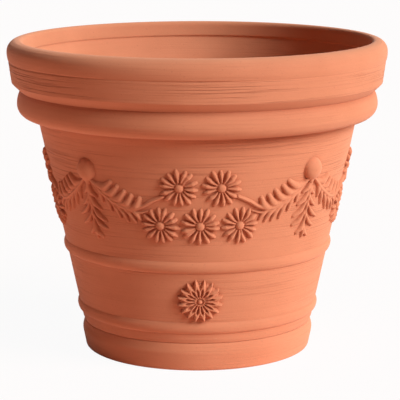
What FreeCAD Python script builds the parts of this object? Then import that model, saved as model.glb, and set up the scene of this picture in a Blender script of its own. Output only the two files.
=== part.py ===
"""A terracotta flower pot that stands in a close-fitting saucer.

The pot is built as a potter builds one: a round floor with a foot ring, a conical wall stood on it, a fat
roll and a tall collar laid on the wall, two cords round it, and press-moulded sprigs stuck on with slip. The
sprigs make a festoon in four bays: bosses between the bays, daisies in the middle of each, leafy garlands
between.

Millimetres, +Z up, the origin under the middle of the saucer, the front of the pot towards -Y.
"""

import FreeCAD, Part
import Sketcher
import math
import os

SIZES = (
    ("rim_diameter", 400.0, "across the lip, the widest place"),
    ("rim_thickness", 16.5, "from the lip's outside to its inside"),
    ("lip_height", 21.0, "from the crest down to the small step on the collar"),
    ("lip_step", 0.8, "how far the collar is set in below the lip"),
    ("lip_drop", 14.0, "how far the lip's inside face runs down"),
    ("lip_overhang", 1.5, "how far that face stands in front of the inside wall"),
    ("lip_outer_round", 12.0, "rounding of the crest, outside"),
    ("lip_inner_round", 4.0, "rounding of the crest, inside"),
    ("collar_height", 49.0, "the collar and its lip together"),
    ("collar_draft", 4.0, "how much the collar draws in at its foot, on the radius"),
    ("collar_round", 11.0, "rounding under the collar"),
    ("collar_foot_thickness", 19.0, "from outside to inside where the collar stands on the roll"),
    ("roll_height", 31.5, "the roll under the collar"),
    ("roll_diameter", 380.4, "across the roll"),
    ("roll_belly", 13.5, "height of the roll's widest place above its underside"),
    ("roll_tuck", 6.2, "how far the roll draws in under the collar, on the radius"),
    ("wall_height", 218.0, "the conical wall, from the floor to the roll"),
    ("wall_top_diameter", 337.5, "outside, under the roll"),
    ("wall_foot_diameter", 244.5, "outside, above the saucer"),
    ("wall_thickness", 14.3, "measured level"),
    ("wall_edge_round", 2.5, "rounding of the wall's lower edge"),
    ("floor_thickness", 15.5, "the pot's floor over its recess"),
    ("foot_ring_height", 7.0, "the ring under the floor"),
    ("foot_ring_width", 16.0, "the same ring, on the radius"),
    ("drain_diameter", 28.0, "the hole in the floor"),
    ("weep_notch_width", 12.0, "the water's ways out through the foot ring"),
    ("weep_notch_depth", 4.0, "the same, upwards"),
    ("weep_notch_count", 4.0, "the same, round the ring"),
    ("saucer_diameter", 247.2, "across the saucer's rim"),
    ("saucer_base_diameter", 240.0, "across its underside"),
    ("saucer_wall", 8.0, "thickness of the saucer's side"),
    ("saucer_floor", 8.0, "thickness of the saucer's floor"),
    ("saucer_rim_round", 5.0, "rounding of its rim, outside"),
    ("saucer_edge_round", 3.5, "rounding of its lower edge"),
    ("saucer_fillet", 4.0, "rounding inside, where side and floor meet"),
    ("saucer_clearance", 1.5, "play between the foot and the saucer's side, on the radius"),
    ("shoulder_gap", 1.0, "the hairline between the saucer's rim and the wall above it"),
    ("cord_width", 17.4, "height of the two cords round the wall"),
    ("cord_rise", 2.8, "how far they stand out of the wall"),
    ("lower_cord_height", 14.5, "middle of the lower cord above the wall's foot"),
    ("middle_cord_height", 80.5, "middle of the upper one above the wall's foot"),
    ("slip_gap", 0.25, "the film of slip between the wall and what is stuck on it"),
    ("boss_diameter", 25.0, "the round bosses between the bays"),
    ("boss_rise", 8.0, "how far they stand out"),
    ("boss_height", 179.6, "their middle above the wall's foot"),
    ("upper_daisy_height", 166.7, "two daisies in each bay, above the wall's foot"),
    ("lower_daisy_height", 126.8, "three daisies in each bay, above the wall's foot"),
    ("daisy_step", 15.3, "degrees between daisies in a row"),
    ("daisy_diameter", 38.6, "over the petals"),
    ("daisy_petals", 14.0, "petals round a daisy"),
    ("daisy_petal_width", 5.6, "at a petal's widest"),
    ("daisy_lift", 1.6, "height of a petal's own axis over the wall"),
    ("daisy_button_diameter", 9.6, "the button in the middle"),
    ("daisy_button_rise", 5.0, "how far the button stands over the petals' axis"),
    ("rosette_height", 46.5, "middle of a rosette above the wall's foot"),
    ("rosette_diameter", 44.0, "over the outer petals"),
    ("rosette_petals", 16.0, "petals in each of its two rows"),
    ("rosette_petal_width", 7.0, "at an outer petal's widest"),
    ("rosette_inner_reach", 29.0, "across the inner row"),
    ("rosette_inner_width", 4.6, "at an inner petal's widest"),
    ("rosette_lift", 1.2, "height of a petal's own axis over the wall"),
    ("rosette_button_diameter", 7.6, "the button in the middle"),
    ("rosette_button_rise", 4.4, "how far the button stands over the petals' axis"),
    ("rosette_inner_lift", 1.4, "how far the inner row lies over the outer one"),
    ("petal_root_diameter", 6.0, "the ring on which all petals start"),
    ("petal_root_width", 2.4, "a petal's width there"),
    ("button_depth", 3.0, "how far a button goes down below the petals' axis, before it is trimmed"),
    ("stem_diameter", 5.0, "a garland's stem"),
    ("stem_start", 42.8, "degrees from the bay's middle, beside the boss"),
    ("stem_end", 24.5, "degrees from the bay's middle, where the stem ends in tendrils"),
    ("stem_start_height", 166.1, "above the wall's foot"),
    ("stem_drop", 22.5, "how far the stem hangs down over its length"),
    ("tendril_diameter", 3.4, "the thin shoots that reach for the daisies"),
    ("tendril_bow", 3.0, "how far the long tendril bows upwards"),
    ("tendril_gap", 0.8, "clear space between a tendril's end and the daisy"),
    ("garland_leaves", 5.0, "leaves along each side of the stem"),
    ("upper_leaf_length", 21.0, "the plump leaves over the stem"),
    ("upper_leaf_width", 8.6, "the same"),
    ("upper_leaf_angle", 62.0, "degrees between these leaves and the stem"),
    ("lower_leaf_length", 20.0, "the slender leaves under the stem"),
    ("lower_leaf_width", 7.0, "the same"),
    ("lower_leaf_angle", 58.0, "degrees between these leaves and the stem"),
    ("leaf_rise", 4.4, "how far a leaf stands out of the wall"),
    ("frond_length", 56.0, "the frond that hangs under a boss"),
    ("frond_gap", 2.0, "clear space between a boss and its frond"),
    ("frond_pairs", 3.0, "pairs of leaves along a frond"),
    ("frond_leaf_length", 19.0, "each leaf"),
    ("frond_leaf_width", 6.6, "the same"),
    ("frond_leaf_angle", 27.0, "degrees between a leaf and the frond's stem"),
)

BAYS = ("front", "right", "back", "left")
BAY_CORNERS = ("front_right", "back_right", "back_left", "front_left")
ROSETTE_BAYS = ("front", "back")
BAY_ANGLE = 360.0 / len(BAYS)
FULL_TURN = 360.0
QUARTER_TURN = 90.0
DOWN = 270.0
# A rod's axis lies this share of its radius over the wall.
ROD_LIFT = 0.4
# The leaves on each side of a stem: which way they turn from it, and the shares of the stem where they
# begin and end.
LEAF_SIDES = (("upper", -1, 0.08, 0.92), ("lower", 1, 0.25, 0.80))
# The shares of the stem that its bend passes through, and the step that finds its direction.
STEM_SHARES = (0.0, 0.5, 1.0)
STEM_STEP = 0.01
# The tendrils leave the stem at this share of its length.
TENDRIL_SHARE = 0.9
# The first pair of leaves on a frond starts this share of a step below the frond's top.
FROND_FIRST = 0.4

doc = FreeCAD.newDocument("FlowerPot")
sheet = doc.addObject("Spreadsheet::Sheet", "Sizes")
for row, (alias, number, meaning) in enumerate(SIZES, start=1):
    sheet.set(f"A{row}", alias)
    sheet.set(f"B{row}", str(number))
    sheet.set(f"C{row}", meaning)
    sheet.setAlias(f"B{row}", alias)
doc.recompute()


class Size:
    """A number together with the spreadsheet expression that it comes from."""

    def __init__(self, value, text):
        self.value = value
        self.text = text

    def _with(self, sign, other):
        right = other if isinstance(other, Size) else Size(other, str(other))
        results = {
            "+": lambda: self.value + right.value,
            "-": lambda: self.value - right.value,
            "*": lambda: self.value * right.value,
            "/": lambda: self.value / right.value,
        }
        return Size(results[sign](), f"({self.text} {sign} {right.text})")

    def __add__(self, other):
        return self._with("+", other)

    def __sub__(self, other):
        return self._with("-", other)

    def __mul__(self, other):
        return self._with("*", other)

    def __truediv__(self, other):
        return self._with("/", other)


def size(alias):
    """The spreadsheet cell with this alias."""
    return Size(float(sheet.get(alias)), f"Sizes.{alias}")


def half(alias):
    """Half of the cell with this alias, such as the radius of a diameter."""
    return size(alias) / 2


ZERO = Size(0.0, "0")

# Heights and radii that several pieces share
saucer_inside = half("saucer_diameter") - size("saucer_wall")
foot_radius = saucer_inside - size("saucer_clearance")
foot_bottom = size("saucer_floor")
floor_bottom = foot_bottom + size("foot_ring_height")
shoulder = floor_bottom + size("floor_thickness")
saucer_top = shoulder - size("shoulder_gap")
wall_top = shoulder + size("wall_height")
roll_top = wall_top + size("roll_height")
pot_top = roll_top + size("collar_height")
wall_foot_radius = half("wall_foot_diameter")
wall_top_radius = half("wall_top_diameter")
wall_slope = (wall_top_radius - wall_foot_radius) / size("wall_height")
wall_inside_top = wall_top_radius - size("wall_thickness")
collar_foot_radius = half("rim_diameter") - size("collar_draft")
collar_inside_foot = collar_foot_radius - size("collar_foot_thickness")


def wall_radius(height):
    """The wall's outside radius at a height above its foot."""
    return wall_foot_radius + wall_slope * height


def origin_part(body, role):
    """One of a body's own origin planes or axes."""
    return next(part for part in body.Origin.OriginFeatures if part.Role == role)


def new_body(label):
    body = doc.addObject("PartDesign::Body", label)
    body.Label = label
    return body


def new_sketch(body, plane, name):
    sketch = body.newObject("Sketcher::SketchObject", name)
    sketch.AttachmentSupport = (origin_part(body, plane), [""])
    sketch.MapMode = "FlatFace"
    return sketch


def bind_distance(sketch, kind, geometry, end, distance):
    """Holds one corner of a sketch at a bound distance from the sketch's origin."""
    if distance.value == 0.0:
        axis = -2 if kind == "DistanceX" else -1
        sketch.addConstraint(Sketcher.Constraint("PointOnObject", geometry, end, axis))
        return
    if distance.value > 0.0:
        held = Sketcher.Constraint(kind, -1, 1, geometry, end, distance.value)
        text = distance.text
    else:
        held = Sketcher.Constraint(kind, geometry, end, -1, 1, -distance.value)
        text = f"-{distance.text}"
    index = sketch.addConstraint(held)
    sketch.setExpression(f"Constraints[{index}]", text)


def arc_between(first, last, radius):
    """The arc from one point to another, bulging to the right of the way when radius is positive."""
    chord = last - first
    reach = math.sqrt(max(radius * radius - chord.Length ** 2 / 4, 0.0))
    left = FreeCAD.Vector(-chord.y, chord.x, 0).normalize()
    centre = (first + last) / 2 + left * math.copysign(reach, radius)
    start, end = (first, last) if radius > 0 else (last, first)
    angles = [math.atan2(point.y - centre.y, point.x - centre.x) for point in (start, end)]
    circle = Part.Circle(centre, FreeCAD.Vector(0, 0, 1), abs(radius))
    return Part.ArcOfCircle(circle, angles[0], angles[1])


def draw_outline(sketch, corners):
    """Draws a closed outline through bound corners.

    A corner is (across, up), with a third entry where an arc of that radius leads on to the next corner.
    The arc bulges to the right of the way unless the fourth entry says "left".
    """
    points = [FreeCAD.Vector(corner[0].value, corner[1].value, 0) for corner in corners]
    ends = []
    for place, corner in enumerate(corners):
        here = points[place]
        there = points[(place + 1) % len(points)]
        if len(corner) == 2:
            index = sketch.addGeometry(Part.LineSegment(here, there))
            ends.append((index, 1, 2))
            continue
        turns_left = len(corner) == 4
        radius = -corner[2].value if turns_left else corner[2].value
        index = sketch.addGeometry(arc_between(here, there, radius))
        ends.append((index, 2, 1) if turns_left else (index, 1, 2))
    for place, (index, first, last) in enumerate(ends):
        following = ends[(place + 1) % len(ends)]
        sketch.addConstraint(Sketcher.Constraint("Coincident", index, last, following[0], following[1]))
        bind_distance(sketch, "DistanceX", index, first, corners[place][0])
        bind_distance(sketch, "DistanceY", index, first, corners[place][1])
        if len(corners[place]) > 2:
            bend = corners[place][2]
            held = sketch.addConstraint(Sketcher.Constraint("Radius", index, bend.value))
            sketch.setExpression(f"Constraints[{held}]", bend.text)


def revolve(body, name, corners, axis="V_Axis"):
    """Turns an outline on the body's XZ plane all the way round one of the sketch's axes."""
    sketch = new_sketch(body, "XZ_Plane", f"{name}_outline")
    draw_outline(sketch, corners)
    turned = body.newObject("PartDesign::Revolution", name)
    turned.Profile = sketch
    turned.ReferenceAxis = (sketch, [axis])
    turned.Angle = FULL_TURN
    return turned


def repeat_round(body, feature, count, name):
    """Repeats a feature evenly round the body's Z axis."""
    pattern = body.newObject("PartDesign::PolarPattern", name)
    pattern.Originals = [feature]
    pattern.Axis = (origin_part(body, "Z_Axis"), [""])
    pattern.Angle = FULL_TURN
    pattern.Occurrences = round(count.value)
    pattern.setExpression("Occurrences", count.text)
    body.Tip = pattern
    return pattern


def make_saucer():
    """The saucer: a low dish whose side carries on the line of the pot's wall."""
    body = new_body("saucer")
    edge = size("saucer_edge_round")
    rim_round = size("saucer_rim_round")
    fillet = size("saucer_fillet")
    base = half("saucer_base_diameter")
    rim = half("saucer_diameter")
    revolve(body, "saucer_dish", (
        (ZERO, ZERO),
        (base - edge, ZERO, edge),
        (base, edge),
        (rim, saucer_top - rim_round, rim_round),
        (rim - rim_round, saucer_top),
        (saucer_inside, saucer_top),
        (saucer_inside, foot_bottom + fillet, fillet, "left"),
        (saucer_inside - fillet, foot_bottom),
        (ZERO, foot_bottom),
    ))
    return body


def make_floor():
    """The pot's floor: a slab with a drain hole, a foot ring under it and notches that let the water out."""
    body = new_body("pot_floor")
    drain = half("drain_diameter")
    edge = size("saucer_fillet") + size("saucer_clearance")
    ring_inside = foot_radius - size("foot_ring_width")
    slab = revolve(body, "floor_slab", (
        (drain, floor_bottom),
        (ring_inside, floor_bottom),
        (ring_inside, foot_bottom),
        (foot_radius - edge, foot_bottom, edge),
        (foot_radius, foot_bottom + edge),
        (foot_radius, shoulder),
        (drain, shoulder),
    ))
    doc.recompute()
    whole = slab.Shape.Volume
    width = half("weep_notch_width")
    notch_top = foot_bottom + size("weep_notch_depth")
    sketch = new_sketch(body, "YZ_Plane", "weep_notch_outline")
    draw_outline(sketch, (
        (ZERO - width, foot_bottom),
        (width, foot_bottom),
        (width, notch_top),
        (ZERO - width, notch_top),
    ))
    notch = body.newObject("PartDesign::Pocket", "weep_notch")
    notch.Profile = sketch
    notch.Reversed = True
    notch.setExpression("Length", (foot_radius * 2).text)
    repeat_round(body, notch, size("weep_notch_count"), "weep_notches")
    doc.recompute()
    assert body.Shape.Volume < whole, "the notches cut nothing"
    return body


def make_wall():
    """The conical wall, stood on the floor and open at both ends."""
    body = new_body("pot_wall")
    edge = size("wall_edge_round")
    revolve(body, "wall_cone", (
        (wall_foot_radius - size("wall_thickness"), shoulder),
        (wall_foot_radius - edge, shoulder, edge),
        (wall_radius(edge), shoulder + edge),
        (wall_top_radius, wall_top),
        (wall_inside_top, wall_top),
    ))
    return body


def make_roll():
    """The fat roll on top of the wall, which overhangs it all round and widens inside towards the collar."""
    body = new_body("rim_roll")
    belly = size("roll_belly")
    widest = half("roll_diameter")
    tuck = size("roll_tuck")
    above = size("roll_height") - belly
    upper_bend = (above * above + tuck * tuck) / (tuck * 2)
    revolve(body, "roll_ring", (
        (wall_inside_top, wall_top),
        (widest - belly, wall_top, belly),
        (widest, wall_top + belly, upper_bend),
        (widest - tuck, roll_top),
        (collar_inside_foot, roll_top),
    ))
    return body


def make_collar():
    """The tall collar with its lip, laid on the roll."""
    body = new_body("rim_collar")
    lip = half("rim_diameter")
    step = size("lip_step")
    outer = size("lip_outer_round")
    inner = size("lip_inner_round")
    under = size("collar_round")
    lip_bottom = pot_top - size("lip_height")
    lip_inside = lip - size("rim_thickness")
    undercut = lip_inside + size("lip_overhang")
    revolve(body, "collar_ring", (
        (collar_inside_foot, roll_top),
        (collar_foot_radius - under, roll_top, under),
        (collar_foot_radius, roll_top + under),
        (lip - step * 2, lip_bottom),
        (lip - step, lip_bottom + step),
        (lip, pot_top - outer, outer),
        (lip - outer, pot_top),
        (lip_inside + inner, pot_top, inner),
        (lip_inside, pot_top - inner),
        (lip_inside, pot_top - size("lip_drop")),
        (undercut, pot_top - size("lip_drop") - size("lip_overhang")),
    ))
    return body


def make_cord(label, height):
    """A low rounded cord of clay round the wall, its middle at a height above the wall's foot."""
    body = new_body(label)
    reach = half("cord_width")
    rise = size("cord_rise")
    gap = size("slip_gap")
    bend = (reach * reach + rise * rise) / (rise * 2)
    revolve(body, f"{label}_ring", (
        (wall_radius(height - reach) + gap, shoulder + height - reach, bend),
        (wall_radius(height + reach) + gap, shoulder + height + reach),
    ))
    return body


def on_wall(angle, height, lift=0.0):
    """A point on the wall: degrees right of the front, millimetres above the wall's foot, lifted off it."""
    lean = math.atan(wall_slope.value)
    radius = wall_radius(Size(height, "")).value + lift * math.cos(lean)
    turn = math.radians(angle)
    up = shoulder.value + height - lift * math.sin(lean)
    return FreeCAD.Vector(radius * math.sin(turn), -radius * math.cos(turn), up)


def wall_frame(angle, height, lift=0.0):
    """A placement on the wall with X to the right, Y up the wall and Z straight out of it."""
    lean = math.atan(wall_slope.value)
    turn = math.radians(angle)
    right = FreeCAD.Vector(math.cos(turn), math.sin(turn), 0)
    out = FreeCAD.Vector(math.sin(turn) * math.cos(lean), -math.cos(turn) * math.cos(lean), -math.sin(lean))
    base = on_wall(angle, height, lift)
    return FreeCAD.Placement(base, FreeCAD.Rotation(right, out.cross(right), out, "XYZ"))


def make_wall_core():
    """The solid cone that trims the back of every sprig to the wall, a film of slip outside it."""
    core = doc.addObject("Part::Cone", "wall_core")
    gap = size("slip_gap")
    core.setExpression("Radius1", (wall_foot_radius + gap).text)
    core.setExpression("Radius2", (wall_top_radius + gap).text)
    core.setExpression("Height", size("wall_height").text)
    core.setExpression("Placement.Base.z", shoulder.text)
    return core


def trim_to_wall(raw, label):
    """Cuts away what a sprig has inside the wall."""
    trimmed = doc.addObject("Part::Cut", label)
    trimmed.Base = raw
    trimmed.Tool = wall_core
    trimmed.Label = label
    return trimmed


def make_boss():
    """A smooth round boss. Its skirt goes deep enough to meet the round wall all along its edge."""
    body = new_body("boss_blank")
    radius = half("boss_diameter")
    rise = size("boss_rise")
    bend = (radius * radius + rise * rise) / (rise * 2)
    revolve(body, "boss_dome", (
        (ZERO, ZERO - rise),
        (radius, ZERO - rise),
        (radius, ZERO, bend),
        (ZERO, rise),
    ))
    body.Placement = wall_frame(BAY_ANGLE / 2, size("boss_height").value)
    return trim_to_wall(body, "boss_pattern")


def add_petals(body, name, reach, width, count, lift=0.0, turn=0.0):
    """Adds a ring of long petals, each a slim cone with a round end, lying on its side."""
    sketch = new_sketch(body, "XZ_Plane", f"{name}_outline")
    up = FreeCAD.Vector(0, 1, 0)
    sketch.AttachmentOffset = FreeCAD.Placement(up * lift, FreeCAD.Rotation(up, turn))
    root = half("petal_root_diameter")
    end = width / 2
    draw_outline(sketch, (
        (root, ZERO),
        (reach, ZERO, end),
        (reach - end, end),
        (root, half("petal_root_width")),
    ))
    petal = body.newObject("PartDesign::Revolution", name)
    petal.Profile = sketch
    petal.ReferenceAxis = (sketch, ["H_Axis"])
    petal.Angle = FULL_TURN
    return repeat_round(body, petal, count, f"{name}_ring")


def add_button(body, name, radius, rise):
    """Adds the round button in the middle of a flower, down to the wall and a little past it."""
    depth = size("button_depth")
    bend = (radius * radius + rise * rise) / (rise * 2)
    return revolve(body, name, (
        (ZERO, ZERO - depth),
        (radius, ZERO - depth),
        (radius, ZERO, bend),
        (ZERO, rise),
    ))


def make_daisy(row, height):
    """A daisy at the front of the pot, its middle at a height above the wall's foot."""
    body = new_body(f"{row}_daisy_blank")
    add_button(body, f"{row}_daisy_button", half("daisy_button_diameter"), size("daisy_button_rise"))
    add_petals(body, f"{row}_daisy_petal", half("daisy_diameter"), size("daisy_petal_width"),
               size("daisy_petals"))
    body.Placement = wall_frame(0.0, height.value, size("daisy_lift").value)
    return trim_to_wall(body, f"{row}_daisy_pattern")


def make_rosette():
    """A rosette with two rows of petals at the front of the pot, between the cords."""
    body = new_body("rosette_blank")
    count = size("rosette_petals")
    add_button(body, "rosette_button", half("rosette_button_diameter"), size("rosette_button_rise"))
    add_petals(body, "rosette_outer_petal", half("rosette_diameter"), size("rosette_petal_width"), count)
    add_petals(body, "rosette_inner_petal", half("rosette_inner_reach"), size("rosette_inner_width"), count,
               lift=size("rosette_inner_lift").value, turn=FULL_TURN / 2 / count.value)
    body.Placement = wall_frame(0.0, size("rosette_height").value, size("rosette_lift").value)
    return trim_to_wall(body, "rosette_pattern")


def walk(angle, height, heading, distance):
    """Where a walk on the wall ends. The heading is in degrees, 0 to the right and 90 up the wall."""
    lean = math.atan(wall_slope.value)
    turn = math.radians(heading)
    radius = wall_radius(Size(height, "")).value
    across = math.degrees(distance * math.cos(turn) / radius)
    return angle + across, height + distance * math.sin(turn) * math.cos(lean)


def heading_between(start, end):
    """The heading and the distance of a walk on the wall from one (angle, height) to another."""
    lean = math.atan(wall_slope.value)
    radius = wall_radius(Size((start[1] + end[1]) / 2, "")).value
    across = math.radians(end[0] - start[0]) * radius
    up = (end[1] - start[1]) / math.cos(lean)
    return math.degrees(math.atan2(up, across)), math.hypot(across, up)


def make_leaf(name, root, heading, length, width):
    """A leaf that lies on the wall with its root at a place on its stem."""
    angle, height = walk(root[0], root[1], heading, length.value / 2)
    leaf = doc.addObject("Part::Ellipsoid", name)
    leaf.setExpression("Radius1", size("leaf_rise").text)
    leaf.setExpression("Radius2", (length / 2).text)
    leaf.setExpression("Radius3", (width / 2).text)
    around = FreeCAD.Rotation(FreeCAD.Vector(0, 0, 1), heading)
    leaf.Placement = wall_frame(angle, height) * FreeCAD.Placement(FreeCAD.Vector(), around)
    return leaf


def make_rod(name, places, diameter):
    """A round rod bent along the wall through three places, each an (angle, height)."""
    radius = diameter.value / 2
    points = [on_wall(angle, height, radius * ROD_LIFT) for angle, height in places]
    path = Part.Arc(*points).toShape()
    start = path.tangentAt(path.FirstParameter)
    section = Part.Wire(Part.Circle(points[0], start, radius).toShape())
    rod = doc.addObject("Part::Feature", name)
    rod.Shape = Part.Wire(path).makePipeShell([section], True, True)
    return rod


def fuse(name, pieces):
    joined = doc.addObject("Part::MultiFuse", name)
    joined.Shapes = pieces
    return joined


def stem_place(share):
    """The place on a garland's stem at a share of its length from the boss, as (angle, height)."""
    start, end = size("stem_start").value, size("stem_end").value
    drop = size("stem_drop").value * share * (2 - share)
    return start + (end - start) * share, size("stem_start_height").value - drop


def tendril_to(daisy, start):
    """Where a tendril that heads straight for a daisy has to stop."""
    heading, distance = heading_between(start, daisy)
    short = half("daisy_diameter").value + size("tendril_gap").value
    return walk(start[0], start[1], heading, distance - short)


def make_garland():
    """The leafy garland on the right of the front bay, from the boss to the daisies."""
    count = round(size("garland_leaves").value)
    bend = [stem_place(share) for share in STEM_SHARES]
    pieces = [make_rod("garland_stem", bend, size("stem_diameter"))]
    for leaf in range(count):
        for side, turn, first, last in LEAF_SIDES:
            share = first + (last - first) * leaf / max(count - 1, 1)
            along = heading_between(stem_place(share - STEM_STEP), stem_place(share + STEM_STEP))[0]
            heading = along + turn * size(f"{side}_leaf_angle").value
            pieces.append(make_leaf(f"{side}_leaf_{leaf + 1}", stem_place(share), heading,
                                    size(f"{side}_leaf_length"), size(f"{side}_leaf_width")))
    fork = stem_place(TENDRIL_SHARE)
    step = size("daisy_step").value
    for row, angle, bow in (("upper", step / 2, size("tendril_bow").value), ("lower", step, 0.0)):
        end = tendril_to((angle, size(f"{row}_daisy_height").value), fork)
        middle = ((fork[0] + end[0]) / 2, (fork[1] + end[1]) / 2 + bow)
        pieces.append(make_rod(f"{row}_tendril", (fork, middle, end), size("tendril_diameter")))
    return trim_to_wall(fuse("garland_blank", pieces), "garland_pattern")


def make_frond():
    """The frond that hangs straight down under the boss on the right of the front bay."""
    angle = BAY_ANGLE / 2
    below = half("boss_diameter").value + size("frond_gap").value
    top = walk(angle, size("boss_height").value, DOWN, below)
    last_root = size("frond_length") - size("frond_leaf_length")
    stem = doc.addObject("Part::Cone", "frond_stem")
    stem.setExpression("Radius1", half("stem_diameter").text)
    stem.setExpression("Radius2", half("tendril_diameter").text)
    stem.setExpression("Height", (last_root + half("frond_leaf_width")).text)
    downwards = FreeCAD.Placement(FreeCAD.Vector(), FreeCAD.Rotation(FreeCAD.Vector(1, 0, 0), QUARTER_TURN))
    stem.Placement = wall_frame(top[0], top[1], half("tendril_diameter").value * ROD_LIFT) * downwards
    pieces = [stem]
    pairs = round(size("frond_pairs").value)
    for pair in range(pairs):
        root = walk(top[0], top[1], DOWN, last_root.value * (pair + FROND_FIRST) / pairs)
        for side, turn in (("left", -1), ("right", 1)):
            heading = DOWN + turn * size("frond_leaf_angle").value
            pieces.append(make_leaf(f"frond_leaf_{side}_{pair + 1}", root, heading,
                                    size("frond_leaf_length"), size("frond_leaf_width")))
    end = walk(top[0], top[1], DOWN, last_root.value)
    pieces.append(make_leaf("frond_end_leaf", end, DOWN,
                            size("frond_leaf_length"), size("frond_leaf_width")))
    return trim_to_wall(fuse("frond_blank", pieces), "frond_pattern")


def mirror_across_bay(pattern, name):
    """The same sprig on the other side of the front bay."""
    mirrored = doc.addObject("Part::Mirroring", name)
    mirrored.Source = pattern
    mirrored.Base = FreeCAD.Vector(0, 0, 0)
    mirrored.Normal = FreeCAD.Vector(1, 0, 0)
    return mirrored


def copy_round(pattern, label, angle):
    """A sprig from the same mould, turned about the pot's axis to its place."""
    body = new_body(label)
    press = body.newObject("PartDesign::FeatureBase", f"{label}_press")
    press.BaseFeature = pattern
    body.Tip = press
    body.Placement = FreeCAD.Placement(FreeCAD.Vector(), FreeCAD.Rotation(FreeCAD.Vector(0, 0, 1), angle))
    return body


wall_core = make_wall_core()
boss = make_boss()
upper_daisy = make_daisy("upper", size("upper_daisy_height"))
lower_daisy = make_daisy("lower", size("lower_daisy_height"))
rosette = make_rosette()
garland = make_garland()
garland_mirror = mirror_across_bay(garland, "garland_mirror_pattern")
frond = make_frond()
doc.recompute()

pieces = [
    make_saucer(),
    make_floor(),
    make_wall(),
    make_roll(),
    make_collar(),
    make_cord("middle_cord", size("middle_cord_height")),
    make_cord("lower_cord", size("lower_cord_height")),
]
step = size("daisy_step").value
for place, bay in enumerate(BAYS):
    middle = place * BAY_ANGLE
    corner = BAY_CORNERS[place]
    pieces.append(copy_round(boss, f"boss_{corner}", middle))
    pieces.append(copy_round(frond, f"frond_{corner}", middle))
    pieces.append(copy_round(garland, f"garland_{bay}_right", middle))
    pieces.append(copy_round(garland_mirror, f"garland_{bay}_left", middle))
    pieces.append(copy_round(upper_daisy, f"daisy_{bay}_upper_left", middle - step / 2))
    pieces.append(copy_round(upper_daisy, f"daisy_{bay}_upper_right", middle + step / 2))
    pieces.append(copy_round(lower_daisy, f"daisy_{bay}_lower_left", middle - step))
    pieces.append(copy_round(lower_daisy, f"daisy_{bay}_lower_middle", middle))
    pieces.append(copy_round(lower_daisy, f"daisy_{bay}_lower_right", middle + step))
    if bay in ROSETTE_BAYS:
        pieces.append(copy_round(rosette, f"rosette_{bay}", middle))
doc.recompute()

for thing in doc.Objects:
    faults = [state for state in thing.State if state in ("Invalid", "Error")]
    assert not faults, f"{thing.Label} failed: {faults}"
for piece in pieces:
    assert not piece.Shape.isNull() and piece.Shape.isValid(), f"{piece.Label} has no good shape"
    assert len(piece.Shape.Solids) == 1, f"{piece.Label} has {len(piece.Shape.Solids)} solids"

os.makedirs("parts", exist_ok=True)
for piece in pieces:
    piece.Shape.exportStep(f"parts/{piece.Label}.step")
print(f"{len(pieces)} pieces, {pot_top.value:.1f} mm tall")
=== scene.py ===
"""The looks of a terracotta flower pot in its saucer.

The thrown pieces are turned meshes with soft waves in the clay and brush marks on it. The sprigs are
reliefs pressed on the wall. Lengths are millimetres until a mesh is made, which is in metres, in the frame
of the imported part. Angles round the pot are degrees to the right of its front, which faces -Y.
"""

import math

import bpy
import numpy as np
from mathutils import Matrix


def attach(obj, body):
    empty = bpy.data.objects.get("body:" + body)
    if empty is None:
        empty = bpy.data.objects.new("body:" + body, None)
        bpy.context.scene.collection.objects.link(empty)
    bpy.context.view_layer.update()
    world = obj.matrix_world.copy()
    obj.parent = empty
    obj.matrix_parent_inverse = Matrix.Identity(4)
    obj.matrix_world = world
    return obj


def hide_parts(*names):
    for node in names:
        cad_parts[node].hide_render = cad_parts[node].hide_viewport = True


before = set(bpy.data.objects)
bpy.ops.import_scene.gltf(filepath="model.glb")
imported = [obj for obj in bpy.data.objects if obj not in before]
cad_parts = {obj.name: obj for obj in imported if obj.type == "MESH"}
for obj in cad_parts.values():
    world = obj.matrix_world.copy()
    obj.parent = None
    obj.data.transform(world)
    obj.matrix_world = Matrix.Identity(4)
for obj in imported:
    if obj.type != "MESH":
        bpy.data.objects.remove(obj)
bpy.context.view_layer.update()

MM = 0.001
FULL_TURN = 360.0
POT = "pot"
SAUCER = "saucer"

# Spacing of the points along an outline: on faces that show, on round corners, and out of sight
FINE = 1.2
ROUND = 0.9
COARSE = 4.0

# How deep the edge of a sprig sinks under the wall, how steeply, and where it is cut off
SINK = 0.9
SINK_SLOPE = 1.3
CUT = -0.6
# Spacing of the points of a sprig
LEAF_GRID = 0.5
DAISY_GRID = 0.55
ROSETTE_GRID = 0.4

BAYS = ("front", "right", "back", "left")
BAY_CORNERS = ("front_right", "back_right", "back_left", "front_left")
BAY_ANGLE = FULL_TURN / len(BAYS)
DAISIES = ("upper_left", "upper_right", "lower_left", "lower_middle", "lower_right")
ROSETTE_BAYS = ("front", "back")


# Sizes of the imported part

def node_points(node):
    """A node's vertices at rest."""
    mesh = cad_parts[node].data
    found = np.empty(len(mesh.vertices) * 3, np.float32)
    mesh.vertices.foreach_get("co", found)
    return found.reshape(-1, 3).astype(float) / MM


def heights_of(node):
    """A node's lowest and highest points."""
    points = node_points(node)
    return points[:, 2].min(), points[:, 2].max()


def reaches(node, low, high):
    """A node's points between two heights, as (distance from the axis, height), the nearest first."""
    points = node_points(node)
    points = points[(points[:, 2] >= low) & (points[:, 2] <= high)]
    found = np.stack([np.hypot(points[:, 0], points[:, 1]), points[:, 2]], axis=1)
    return found[found[:, 0].argsort()]


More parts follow.
